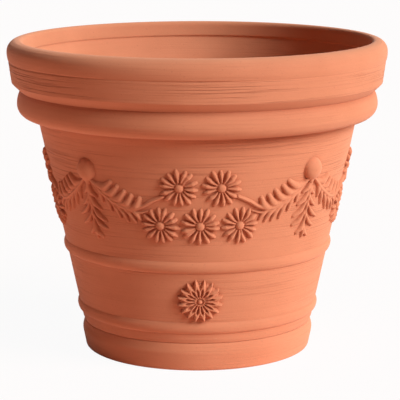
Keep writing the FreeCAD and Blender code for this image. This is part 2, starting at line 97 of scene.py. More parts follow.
# The height of a band that takes in all the points of an edge
EDGE = 4.0
shoulder, wall_top = heights_of("pot_wall")
roll_top = heights_of("rim_roll")[1]
pot_top = heights_of("rim_collar")[1]
saucer_top = heights_of("saucer")[1]
foot_bottom, floor_top = heights_of("pot_floor")
wall_foot_points = reaches("pot_wall", shoulder, shoulder + EDGE)
wall_top_points = reaches("pot_wall", wall_top - EDGE, wall_top)
floor_points = reaches("pot_floor", foot_bottom, floor_top)
wall_inside_foot = wall_foot_points[0, 0]
wall_inside_top = wall_top_points[0, 0]
roll_radius, roll_belly = reaches("rim_roll", wall_top, roll_top)[-1]
collar_inside_foot = reaches("rim_collar", roll_top, roll_top + EDGE)[0, 0]
rim_radius = reaches("rim_collar", roll_top, pot_top)[-1, 0]
drain_radius = floor_points[0, 0]
foot_radius = floor_points[-1, 0]
saucer_inside = reaches("saucer", saucer_top - EDGE, saucer_top)[0, 0]
saucer_radius = reaches("saucer", 0.0, saucer_top)[-1, 0]
saucer_base = reaches("saucer", 0.0, EDGE)[-1, 0]
# The height of the line scored round the collar
score_line = pot_top - 21.0

# The wall runs straight between the widest points of its foot and its top
wall_slope, wall_rise = wall_top_points[-1] - wall_foot_points[-1]
wall_slope /= wall_rise
wall_lean = math.atan(wall_slope)


def wall_radius(height):
    """The wall's outside radius at a height."""
    return wall_top_points[-1, 0] + wall_slope * (height - wall_top)


def spot_of(node):
    """The angle round the pot, and the height on the wall, of a sprig's middle."""
    points = node_points(node)
    middle = points.mean(axis=0)
    lift = (np.hypot(points[:, 0], points[:, 1]) - wall_radius(points[:, 2])) * math.cos(wall_lean)
    height = (points[:, 2] + lift * math.sin(wall_lean)).mean()
    return math.degrees(math.atan2(middle[0], -middle[1])), height


# Random waves in the clay

def eased(share):
    """Runs from 0 to 1 with level ends."""
    share = np.clip(share, 0.0, 1.0)
    return share * share * (3 - 2 * share)


def band(places, low, high, soft):
    """1 between two places and 0 outside them, with soft ends."""
    return eased((places - low) / soft) * eased((high - places) / soft)


def waves(angles, shares, seed, columns, rows):
    """Smooth random waves from -1 to 1: a row for each share of the way up, a column for each angle.

    They run through random knots, so many columns of them round the pot and so many rows up it.
    """
    knots = np.random.default_rng(seed).uniform(-1, 1, (rows + 1, columns))
    across = np.mod(angles / FULL_TURN, 1.0) * columns
    left = np.floor(across).astype(int) % columns
    right = (left + 1) % columns
    sideways = eased(across - np.floor(across))[None, :]
    up = np.clip(shares, 0.0, 1.0) * rows
    below = np.minimum(np.floor(up).astype(int), rows - 1)
    upwards = eased(up - below)[:, None]
    low = knots[below][:, left] * (1 - sideways) + knots[below][:, right] * sideways
    high = knots[below + 1][:, left] * (1 - sideways) + knots[below + 1][:, right] * sideways
    return low * (1 - upwards) + high * upwards


# Outlines: points (radius, height), up the outside and down the inside

def run(start, end, step):
    """Points from one place towards another, without the last one."""
    start = np.array(start, float)
    end = np.array(end, float)
    count = max(math.ceil(np.linalg.norm(end - start) / step), 1)
    return start + (end - start) * np.linspace(0, 1, count, endpoint=False)[:, None]


def arc(centre, radius, first, last):
    """Points along an arc between two angles in degrees, 0 outwards and 90 up."""
    length = math.radians(abs(last - first)) * radius
    turn = np.radians(np.linspace(first, last, max(round(length / ROUND), 3)))
    return np.stack([centre[0] + radius * np.cos(turn), centre[1] + radius * np.sin(turn)], axis=1)


def bend_at(before, here, after, rounding):
    """Points round a corner of an outline, from where the rounding starts to where it ends."""
    back = (before - here) / np.linalg.norm(before - here)
    ahead = (after - here) / np.linalg.norm(after - here)
    half = math.acos(np.clip(back @ ahead, -1.0, 1.0)) / 2
    swing = math.pi - 2 * half
    centre = here + (back + ahead) / np.linalg.norm(back + ahead) * rounding / math.sin(half)
    first = here + back * rounding / math.tan(half) - centre
    last = here + ahead * rounding / math.tan(half) - centre
    share = np.linspace(0, 1, max(round(swing * rounding / ROUND), 3))[:, None]
    bow = first * np.sin((1 - share) * swing) + last * np.sin(share * swing)
    return centre + bow / math.sin(swing)


def rounded(corners):
    """A closed outline through corners (radius, height, rounding, step).

    The step is the spacing of the points on the straight run that follows the corner.
    """
    spots = [np.array(corner[:2], float) for corner in corners]
    bends = []
    for place, corner in enumerate(corners):
        if corner[2] == 0:
            bends.append(spots[place][None, :])
        else:
            after = spots[(place + 1) % len(spots)]
            bends.append(bend_at(spots[place - 1], spots[place], after, corner[2]))
    stretches = []
    for place, bend in enumerate(bends):
        following = bends[(place + 1) % len(bends)][0]
        stretches.append(bend[:-1])
        stretches.append(run(bend[-1], following, corners[place][3]))
    return np.concatenate(stretches)


# Meshes

def add_piece(node, body, points, faces, material):
    """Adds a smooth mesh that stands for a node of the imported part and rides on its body."""
    name = f"clay_{node}"
    mesh = bpy.data.meshes.new(name)
    mesh.from_pydata((points * MM).tolist(), [], faces)
    mesh.shade_smooth()
    mesh.materials.append(material)
    piece = bpy.data.objects.new(name, mesh)
    bpy.context.scene.collection.objects.link(piece)
    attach(piece, body)
    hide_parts(node)


def without_spare_points(points, faces):
    """The points that faces use, and the faces with their new numbers."""
    used = np.zeros(len(points), bool)
    for face in faces:
        used[face] = True
    number = np.cumsum(used) - 1
    return points[used], [number[face].tolist() for face in faces]


def turned(node, body, material, outline, swell, segments, reshape=None):
    """Turns a closed outline round the axis, where points that touch it become one.

    swell(angles, outline) tells how far each point is pushed outward, and reshape(angles, radius, height)
    gives the heights that the points then get.
    """
    angles = np.arange(segments) * FULL_TURN / segments
    ahead = np.roll(outline, -1, axis=0) - np.roll(outline, 1, axis=0)
    ahead /= np.linalg.norm(ahead, axis=1)[:, None]
    on_axis = outline[:, 0] == 0
    push = np.where(on_axis[:, None], 0.0, swell(angles, outline))
    radius = np.where(on_axis[:, None], 0.0, outline[:, :1] + ahead[:, 1:] * push)
    height = outline[:, 1:] - ahead[:, :1] * push
    if reshape:
        height = reshape(angles, radius, height)
    turn = np.radians(angles)[None, :]
    points = np.stack([radius * np.sin(turn), -radius * np.cos(turn), height], axis=2).reshape(-1, 3)
    number = np.arange(len(points)).reshape(len(outline), segments)
    number[on_axis] = number[on_axis, :1]
    faces = []
    for place in range(len(outline)):
        following = (place + 1) % len(outline)
        here = number[place]
        there = number[following]
        ring = np.stack([here, np.roll(here, -1), np.roll(there, -1), there], axis=1)
        if on_axis[place] and on_axis[following]:
            continue
        if on_axis[place]:
            ring = ring[:, 1:]
        elif on_axis[following]:
            ring = ring[:, :3]
        faces.extend(ring)
    points, faces = without_spare_points(points, faces)
    add_piece(node, body, points, faces, material)


# The thrown pieces

def make_saucer(material):
    """The saucer, a low dish with a swelling side and a rounded rim."""
    base = saucer_base - 0.3
    belly = saucer_top - 9.0
    rim_outside = saucer_radius - 2.4
    outline = rounded((
        (0, 0, 0, COARSE),
        (base, 0, 3.2, FINE),
        (saucer_radius, belly, 14, FINE),
        (rim_outside, saucer_top, 1.8, FINE),
        (saucer_inside, saucer_top, 1.2, FINE),
        (saucer_inside, foot_bottom, 4, COARSE),
        (0, foot_bottom, 0, COARSE),
    ))

    def swell(angles, outline):
        share = outline[:, 1] / saucer_top
        outside = outline[:, 0] > saucer_inside + 1
        shown = band(outline[:, 1], 0.5, saucer_top, soft=2.0) * outside
        brushed = 0.05 * waves(angles, share, seed=21, columns=14, rows=12)
        uneven = 0.14 * waves(angles, share, seed=22, columns=5, rows=2)
        return shown[:, None] * (brushed + uneven)

    turned("saucer", SAUCER, material, outline, swell, segments=360)


def make_floor(material):
    """The pot's floor with its drain hole and the notched foot ring under it."""
    floor_bottom = foot_bottom + 7.0
    ring_inside = foot_radius - 16.0
    notch_top = foot_bottom + 4.0
    notch_half = 6.0
    notch_side = 1.5
    notch_depth = 0.95
    spiral_pitch = 9.0
    spiral_depth = 0.35
    outline = rounded((
        (drain_radius, floor_bottom, 1.5, COARSE),
        (ring_inside, floor_bottom, 2, 1.5),
        (ring_inside, foot_bottom, 1.5, 2.5),
        (foot_radius, foot_bottom, 5.5, 2.5),
        (foot_radius, floor_top, 0, COARSE),
        (drain_radius, floor_top, 3, 2.5),
    ))

    def swell(angles, outline):
        top = outline[:, 1] > floor_top - 0.5
        turns = outline[:, :1] / spiral_pitch - angles[None, :] / FULL_TURN
        spiral = np.sin(2 * math.pi * turns)
        shown = band(outline[:, 0], drain_radius + 2, wall_inside_foot, soft=6.0)
        return (top * shown)[:, None] * spiral_depth * (spiral - 1)

    def reshape(angles, radius, height):
        offset = np.mod(angles + BAY_ANGLE / 2, BAY_ANGLE) - BAY_ANGLE / 2
        aside = np.abs(radius * np.sin(np.radians(offset))[None, :])
        in_ring = (radius > ring_inside - 3) * (height < notch_top)
        notch = eased((notch_half - aside) / notch_side + 0.5) * in_ring
        return height + notch * notch_depth * (notch_top - height)

    turned("pot_floor", POT, material, outline, swell, segments=320, reshape=reshape)


def make_wall(material):
    """The conical wall, brushed level outside and ringed by the thrower's fingers inside."""
    painted_crease_shade = wall_radius(wall_top)
    side_foot = shoulder + 3.0
    side_step = 1.9
    edge = wall_radius(shoulder) - 1.2
    edge_height = shoulder - 0.95
    under_roll = painted_crease_shade + 6.0
    finger_rings = 15
    outline = rounded((
        (wall_inside_foot, shoulder, 0, COARSE),
        (edge, edge_height, 0, ROUND),
        (wall_radius(side_foot), side_foot, 3.0, side_step),
        (painted_crease_shade, wall_top, 3.0, ROUND),
        (under_roll, wall_top + 0.5, 0, COARSE),
        (wall_inside_top, wall_top, 0, COARSE),
    ))

    def swell(angles, outline):
        share = (outline[:, 1] - shoulder) / (wall_top - shoulder)
        outside = outline[:, :1] > wall_radius(outline[:, 1:]) - 3
        shown = band(outline[:, 1], shoulder, wall_top - 1, soft=4.0)[:, None]
        brushed = 0.05 * waves(angles, share, seed=11, columns=16, rows=60)
        uneven = 0.14 * waves(angles, share, seed=12, columns=5, rows=7)
        fingers = np.sin(2 * math.pi * (finger_rings * share[:, None] + angles[None, :] / FULL_TURN))
        thrown = 0.4 * fingers + 0.25 * waves(angles, share, seed=13, columns=9, rows=30)
        return shown * np.where(outside, brushed + uneven, thrown)

    turned("pot_wall", POT, material, outline, swell, segments=420)


def make_roll(material):
    """The fat roll under the collar, flat below and drawn in above."""
    under = roll_belly - wall_top
    above = roll_top - roll_belly
    tuck = 6.2
    bend = (above * above + tuck * tuck) / (2 * tuck)
    end = math.degrees(math.asin(above / bend))
    outline = np.concatenate([
        run((wall_inside_top, wall_top), (roll_radius - under, wall_top), COARSE),
        arc((roll_radius - under, roll_belly), under, -90, 0)[:-1],
        arc((roll_radius - bend, roll_belly), bend, 0, end),
        run((collar_inside_foot, roll_top), (wall_inside_top, wall_top), COARSE),
    ])

    def swell(angles, outline):
        share = (outline[:, 1] - wall_top) / (roll_top - wall_top)
        shown = band(outline[:, 1], wall_top, roll_top, soft=3.0)[:, None]
        brushed = 0.04 * waves(angles, share, seed=31, columns=16, rows=14)
        uneven = 0.2 * waves(angles, share, seed=32, columns=5, rows=2)
        return shown * (brushed + uneven)

    turned("rim_roll", POT, material, outline, swell, segments=520)


def make_collar(material):
    """The tall collar: a smooth lip above a scored line, brushed clay below it, its lower edge cut back."""
    groove = roll_radius - 4.2
    groove_height = roll_top - 4.0
    side_foot = rim_radius - 4.5
    score_half = 0.9
    under_score = rim_radius - 1.6
    over_score = rim_radius - 1.1
    lip_belly = pot_top - 15.0
    lip_face = rim_radius - 16.5
    lip_foot = pot_top - 15.4
    score_middle = score_line - 0.6
    score_width = 0.7
    deepest_angle = -110.0
    outline = rounded((
        (collar_inside_foot, groove_height, 0, COARSE),
        (groove, groove_height, 0, ROUND),
        (side_foot, roll_top + 5.0, 1.3, FINE),
        (under_score, score_line - score_half, 0.8, ROUND),
        (over_score, score_line + score_half, 1.2, FINE),
        (rim_radius, lip_belly, 20, FINE),
        (rim_radius - 0.3, pot_top, 11.5, FINE),
        (lip_face, pot_top, 4.2, FINE),
        (lip_face - 0.2, lip_foot, 1.5, ROUND),
        (lip_face + 1.4, lip_foot - 1.6, 1.5, 1.6),
    ))

    def swell(angles, outline):
        share = (outline[:, 1] - roll_top) / (pot_top - roll_top)
        outside = outline[:, 0] > side_foot - 4
        brush = band(outline[:, 1], roll_top + 6, score_line, soft=3.0) * outside
        broad = 0.08 * waves(angles, share, seed=41, columns=18, rows=24)
        narrow = 0.06 * waves(angles, share, seed=42, columns=30, rows=36)
        lip = (outline[:, 1] > score_line) * outside
        smooth = 0.04 * waves(angles, share, seed=43, columns=14, rows=14)
        above_foot = outline[:, 1] > roll_top + 3
        wobble = 0.2 * waves(angles, share, seed=44, columns=5, rows=3) * above_foot[:, None]
        scored = np.exp(-((outline[:, 1] - score_middle) / score_width) ** 2) * outside
        nearness = 0.5 + 0.5 * np.cos(np.radians(angles - deepest_angle))[None, :]
        unsteady = 1 + 0.5 * waves(angles, share, seed=45, columns=16, rows=1)
        depth = (0.35 + 0.65 * nearness ** 2) * unsteady
        return brush[:, None] * (broad + narrow) + lip[:, None] * smooth + wobble - scored[:, None] * depth

    turned("rim_collar", POT, material, outline, swell, segments=560)


def make_cord(node, seed, material):
    """A low round cord about the wall, creased where it meets the wall."""
    node_low, node_high = heights_of(node)
    low = node_low + 3.2
    high = node_high - 0.6
    spacing = 0.6
    dip = 0.5
    rise = 2.9
    back = 2.0
    droop = 0.88
    roundness = 2.3
    heights = np.linspace(low, high, round((high - low) / spacing))
    beside = 2 * ((heights - low) / (high - low)) ** droop - 1
    swollen = (rise + dip) * (1 - np.abs(beside) ** roundness) - dip
    outline = np.concatenate([
        np.stack([wall_radius(heights) + swollen, heights], axis=1),
        run((wall_radius(high) - back, high), (wall_radius(low) - back, low), COARSE),
    ])

    def swell(angles, outline):
        share = (outline[:, 1] - low) / (high - low)
        outside = outline[:, 0] > wall_radius(outline[:, 1])
        shown = band(outline[:, 1], low, high, soft=5.0) * outside
        brushed = 0.05 * waves(angles, share, seed=seed, columns=18, rows=10)
        uneven = 0.2 * waves(angles, share, seed=seed + 1, columns=7, rows=1)
        return shown[:, None] * (brushed + uneven)

    turned(node, POT, material, outline, swell, segments=420)


# Reliefs on the wall

def smooth_path(points, step=0.6):
    """A smooth line through points, as closely spaced points."""
    points = np.array(points, float)
    padded = np.concatenate([[2 * points[0] - points[1]], points, [2 * points[-1] - points[-2]]])
    line = []
    for place in range(len(points) - 1):
        before, here, there, after = padded[place:place + 4]
        count = max(math.ceil(np.linalg.norm(there - here) / step), 2)
        share = np.linspace(0, 1, count, endpoint=False)[:, None]
        line.append(0.5 * (
            2 * here
            + (there - before) * share
            + (2 * before - 5 * here + 4 * there - after) * share ** 2
            + (3 * here - before - 3 * there + after) * share ** 3
        ))
    line.append(points[-1:])
    return np.concatenate(line)


class Ridge:
    """A rounded ridge of clay along a smooth line on a sprig.

    Its half widths and its rises are given at its root, at its belly and at its tip. Belly is a share of
    its length. A sharpness of 0.5 makes its back round, less makes it fuller and more makes it sharper.
    """

    def __init__(self, path, widths, rises, belly=0.6, sharpness=0.6):
        self.line = smooth_path(path)
        share = np.linspace(0, 1, len(self.line))
        self.width = np.interp(share, (0, belly, 1), widths)
        self.rise = np.interp(share, (0, belly, 1), rises)
        self.sharpness = sharpness

    def heights(self, across, up):
        """How far the ridge stands over each point of the sprig, below zero outside it."""
        gap = np.hypot(across[:, None] - self.line[None, :, 0], up[:, None] - self.line[None, :, 1])
        inside = np.clip(1 - (gap / self.width[None, :]) ** 2, 0.0, 1.0)
        top = (self.rise[None, :] * inside ** self.sharpness).max(axis=1)
        outside = (gap - self.width[None, :]).min(axis=1)
        return np.where(outside < 0, top, -SINK_SLOPE * outside)


def disc(radius, rise, sharpness):
    """A round dome in the middle of a sprig."""
    path = [(0, 0.1), (0, -0.1)]
    return Ridge(path, (radius, radius, radius), (rise, rise, rise), sharpness=sharpness)


def relief(ridges, across, up):
    """The height of the highest ridge over each point of a grid, no lower than the sunken edge."""
    flat = (across.ravel(), up.ravel())
    height = np.full(across.size, -SINK)
    for ridge in ridges:
        height = np.maximum(height, ridge.heights(*flat))
    return height.reshape(across.shape)


def softened(heights, rounds):
    """Heights on a square grid, rubbed smooth."""
    for _ in range(rounds):
        padded = np.pad(heights, 1, mode="edge")
        rows = (padded[:-2] + 2 * padded[1:-1] + padded[2:]) / 4
        heights = (rows[:, :-2] + 2 * rows[:, 1:-1] + rows[:, 2:]) / 4
    return heights


def square_grid(low, high, step):
    """A grid of points (across, up) between two corners."""
    columns = np.arange(low[0], high[0] + step, step)
    rows = np.arange(low[1], high[1] + step, step)
    return np.meshgrid(columns, rows)


def closing_faces(faces):
    """Faces that close the open edges of a mesh, one for each loop of them."""
    edges = set()
    for face in faces:
        edges.update(zip(face, face[1:] + face[:1]))
    following = {}
    for start, end in edges:
        if (end, start) not in edges:
            following[end] = start
    loops = []
    while following:
        corner, after = following.popitem()
        loop = [corner]
        while after in following:
            loop.append(after)
            after = following.pop(after)
        loops.append(loop)
    return loops


def whole_cells(kept):
    """Fills cells that touch only at a corner, so that the edge of the mesh never crosses itself."""
    while True:
        falling = kept[:-1, :-1] & kept[1:, 1:] & ~kept[:-1, 1:] & ~kept[1:, :-1]
        rising = ~kept[:-1, :-1] & ~kept[1:, 1:] & kept[:-1, 1:] & kept[1:, :-1]
        if not (falling | rising).any():
            return kept
        kept = kept.copy()
        kept[:-1, 1:] |= falling
        kept[:-1, :-1] |= rising


def press(node, spot, across, up, rise, material):
    """Presses a sprig on the wall: a grid of points (across, up) about a spot, each standing so far out."""
    angle, height = spot
    level = height + up * math.cos(wall_lean)
    radius = wall_radius(level)
    turn = np.radians(angle) + across / radius
    reach = radius + rise * math.cos(wall_lean)
    outward = np.stack([np.sin(turn), -np.cos(turn)], axis=2)
    points = np.dstack([reach[:, :, None] * outward, level - rise * math.sin(wall_lean)])
    number = np.arange(rise.size).reshape(rise.shape)
    shown = rise > CUT
    kept = whole_cells(shown[:-1, :-1] | shown[1:, :-1] | shown[:-1, 1:] | shown[1:, 1:])
    corners = (number[:-1, :-1], number[:-1, 1:], number[1:, 1:], number[1:, :-1])
    faces = np.stack([corner[kept] for corner in corners], axis=1).tolist()
    faces += closing_faces(faces)
    points, faces = without_spare_points(points.reshape(-1, 3), faces)
    add_piece(node, POT, points, faces, material)


# The sprigs

def make_boss(node, material):
    """A round boss, drawn out below into a neck from which the stems spring."""
    across, up = square_grid((-15, -21), (15, 14), LEAF_GRID)
    ball = Ridge([(0, -0.8), (0, -1.6)], (11.5, 11.5, 11.3), (8.4, 8.4, 8.2), sharpness=0.5)
    neck = Ridge([(0, -6), (0, -11), (0, -16)], (7.0, 4.8, 2.6), (6.0, 4.6, 3.2), belly=0.5)
    rise = softened(relief([ball, neck], across, up), 3)
    press(node, spot_of(node), across, up, rise, material)


def make_daisy(node, seed, material):
    """A daisy: fourteen club-shaped petals round a button with a groove about it."""
    petals = 14
    reach = 20.0
    tip_rounding = 1.7
    petal_width = 2.65
    petal_rise = 3.7
    button = 4.3
    groove = 1.5
    edge = reach + 2.5
    across, up = square_grid((-edge, -edge), (edge, edge), DAISY_GRID)
    draw = np.random.default_rng(seed)
    first = draw.uniform(0, 2 * math.pi)
    ridges = [disc(radius=6.6, rise=0.5, sharpness=0.6), disc(button, rise=3.9, sharpness=0.28)]
    for petal in range(petals):
        turn = first + 2 * math.pi * petal / petals + draw.normal(0, 0.035)
        way = np.array([math.cos(turn), math.sin(turn)])
        aside = np.array([-way[1], way[0]]) * draw.normal(0, 0.35)
        end = reach * draw.uniform(0.95, 1.03) - tip_rounding
        width = petal_width * draw.uniform(0.94, 1.06)
        rise = petal_rise * draw.uniform(0.93, 1.07)
        path = (way * (button + groove), way * 0.6 * end + aside, way * end)
        widths = (0.9, width, 0.7 * width)
        rises = (2.8, rise, 0.6 * rise)
        ridges.append(Ridge(path, widths, rises, belly=0.72, sharpness=0.5))
    rise = softened(relief(ridges, across, up), 1)
    press(node, spot_of(node), across, up, rise, material)


def make_rosette(node, material):
    """A rosette: sixteen hollow lancet petals with raised edges, the tips of a second row between them."""
    petals = 16
    edge = 25
    across, up = square_grid((-edge, -edge), (edge, edge), ROSETTE_GRID)
    radius = np.hypot(across, up)
    turn = np.arctan2(up, across)
    step = 2 * math.pi / petals
    button = 3.1
    button_rise = 4.8
    groove_rise = 0.6
    petals_start = 3.0
    hollow_width = 0.66
    hollow_end = 16.6
    hollow_depth = 2.8

    def lancet(offset, belly, reach):
        """Each point's share of a petal's half width, and how far along the petal and outside it is."""
        beside = np.mod(turn - offset + step / 2, step) - step / 2
        along = radius * np.cos(beside)
        taper = np.clip((along - belly) / (reach - belly), 0.0, 1.0)
        width = np.minimum(along, belly) * math.tan(step / 2) * (1 - taper ** 1.6)
        gap = np.abs(radius * np.sin(beside))
        outside = np.maximum(gap - width, along - reach)
        return gap / np.maximum(width, 0.01), along, outside

    def back_row():
        """Domed petals, of which only the tips show."""
        share, _, outside = lancet(0.0, belly=15.0, reach=20.6)
        dome = np.sqrt(np.clip(1 - share ** 2, 0.0, 1.0))
        return np.where(outside < 0, 2.0 * dome, -SINK_SLOPE * outside)

    def front_row():
        """Petals that dip towards the button, with hollow middles, their sides drawn down at the tips."""
        share, along, outside = lancet(step / 2, belly=14.5, reach=23.4)
        opening = hollow_width * eased((along - petals_start) / 3.5) * eased((hollow_end - along) / 5.5)
        hollow = eased((opening - share) / 0.3)
        tip = eased((along - 10.0) / 5.0)
        back = 4.9 - 1.2 * eased((9.0 - along) / 5.0)
        body = back * (1 - 0.5 * tip * share ** 4) - hollow_depth * hollow
        return np.where(outside < 0, np.maximum(body, 0.4), -SINK_SLOPE * outside)

    starts = eased((radius - petals_start) / 1.0)
    petals_rise = np.maximum(back_row(), front_row()) * starts + (1 - starts) * groove_rise
    dome = button_rise * np.sqrt(np.clip(1 - (radius / button) ** 2, 0.0, 1.0))
    rise = np.where(radius < button, np.maximum(petals_rise, dome), np.maximum(petals_rise, -SINK))
    press(node, spot_of(node), across, up, softened(rise, 2), material)


# A garland's stem and its side shoot: places inwards, towards the middle of the bay, and up from the boss
STEM = (
    (2, -9),
    (10, -16),
    (18.5, -23.5),
    (29, -30.5),
    (40, -36),
    (50.5, -37.5),
    (61.5, -34.5),
    (72, -28.5),
    (85, -22.5),
)
SHOOT = ((40, -36.5), (50, -40), (59, -41.2), (68, -38.5))

# How sharp the backs of the plump leaves and of the slender ones are
PLUMP = 0.6
SLENDER = 0.42


def leaf_ridge(root, tip, bow, width, rise, sharpness):
    """A leaf from its root on a stem to its tip, bowed to the left of that way."""
    root = np.array(root, float)
    tip = np.array(tip, float)
    way = (tip - root) / np.linalg.norm(tip - root)
    aside = np.array([-way[1], way[0]])
    end = tip - way * width
    middle = root + (end - root) * 0.55 + aside * bow
    widths = (1.0, width, 0.6 * width)
    rises = (2.2, rise, 0.65 * rise)
    return Ridge([root, middle, end], widths, rises, belly=0.58, sharpness=sharpness)


def garland_ridges(draw):
    """The ridges of a garland: a stem, plump leaves above it, slender ones below it and a shoot."""
    upper_leaves = 5
    lower_leaves = 6
    stem = smooth_path(STEM)
    length = np.concatenate([[0], np.cumsum(np.linalg.norm(np.diff(stem, axis=0), axis=1))])

    def on_stem(distance):
        return np.array([np.interp(distance, length, stem[:, axis]) for axis in (0, 1)])

    def towards(heading, size):
        turn = math.radians(heading)
        way = np.array([math.cos(turn), math.sin(turn)])
        return size * way + draw.normal(0, 0.5, 2)

    ridges = [
        Ridge(STEM, (2.2, 2.3, 1.8), (3.4, 3.8, 3.2)),
        Ridge(SHOOT, (1.5, 1.5, 1.0), (2.6, 2.5, 1.9)),
    ]
    for share in np.arange(upper_leaves) / (upper_leaves - 1):
        root = on_stem(7.0 + 42.0 * share)
        heading = 7.0 + 24.0 * share
        size = 27.0 - 1.5 * share
        tip = root + towards(heading, size)
        ridges.append(leaf_ridge(root, tip, bow=-4.8, width=4.5, rise=4.6, sharpness=PLUMP))
    for share in np.arange(lower_leaves) / (lower_leaves - 1):
        root = on_stem(13.0 + 41.0 * share)
        heading = -74.0 + 28.0 * share
        size = 18.5 + 8.0 * math.sin(math.pi * share)
        tip = root + towards(heading, size)
        ridges.append(leaf_ridge(root, tip, bow=1.6, width=2.8, rise=3.5, sharpness=SLENDER))
    return ridges


def mirrored(ridges):
    """The same ridges seen in a mirror, left and right swapped."""
    for ridge in ridges:
        ridge.line = ridge.line * np.array([-1.0, 1.0])
    return ridges


def make_garland(node, boss, side, seed, material):
    """A garland that hangs from a boss towards the left (-1) or the right (1)."""
    ridges = garland_ridges(np.random.default_rng(seed))
    low, high = (-4.0, -62.0), (90.0, -2.0)
    if side < 0:
        ridges = mirrored(ridges)
        low, high = (-high[0], low[1]), (-low[0], high[1])
    across, up = square_grid(low, high, LEAF_GRID)
    rise = softened(relief(ridges, across, up), 2)
    press(node, spot_of(boss), across, up, rise, material)


def make_frond(node, boss, seed, material):
    """The frond that hangs straight down from a boss, with leaves in pairs and one at its end."""
    draw = np.random.default_rng(seed)
    pairs = 5
    stagger = 1.5
    stem = ((0, -10), (0.3, -30), (0.0, -50), (0.6, -65))
    ridges = [Ridge(stem, (2.2, 1.8, 1.4), (3.6, 3.4, 2.8), belly=0.5)]
    for share in np.arange(pairs) / (pairs - 1):
        drop = 13.0 + 44.0 * share
        spread = 9.0 + 10.5 * math.sin(math.pi * share ** 1.35)
        fall = 16.5 + 3.0 * math.sin(math.pi * share)
        for side in (-1, 1):
            root = (0.5 * side, -drop - stagger * side)
            tip = np.array([spread * side, -drop - fall - stagger * side]) + draw.normal(0, 0.7, 2)
            ridges.append(leaf_ridge(root, tip, bow=-2.6 * side, width=2.8, rise=3.7, sharpness=SLENDER))
    end_leaf = leaf_ridge((0.5, -58.0), (0.8, -77.0), bow=0.0, width=2.4, rise=3.6, sharpness=SLENDER)
    across, up = square_grid((-27.0, -83.0), (27.0, -6.0), LEAF_GRID)
    rise = softened(relief(ridges + [end_leaf], across, up), 2)
    press(node, spot_of(boss), across, up, rise, material)


# Materials

class NodeTree:
    """Adds nodes to a material or a world and joins them."""

    def __init__(self, owner):
        owner.use_nodes = True
        self.tree = owner.node_tree
        self.tree.nodes.clear()

    def add(self, kind, settings=None, **inputs):
        """A node with settings. An input is a plain value or another node's socket."""
        node = self.tree.nodes.new(kind)
        for name, value in (settings or {}).items():
            setattr(node, name, value)
        for name, value in inputs.items():
            self.feed(node, name.replace("_", " "), value)
        return node

    def feed(self, node, name, value):
        """Gives a node's input, by its name or its number, a plain value or another node's socket."""
        socket = node.inputs[int(name)] if name.isdigit() else node.inputs[name]
        if isinstance(value, bpy.types.NodeSocket):
            self.tree.links.new(value, socket)
        else:
            socket.default_value = value

    def joined(self, operation, first, second):
        """Two numbers added, multiplied or the like."""
        node = self.add("ShaderNodeMath", {"operation": operation})
        self.feed(node, "0", first)
        self.feed(node, "1", second)
        return node.outputs[0]

    def shaded(self, share, first, second):
        """A share of the second shader over the first."""
        node = self.add("ShaderNodeMixShader")
        self.feed(node, "0", share)
        self.feed(node, "1", first.outputs[0])
        self.feed(node, "2", second.outputs[0])
        return node.outputs[0]


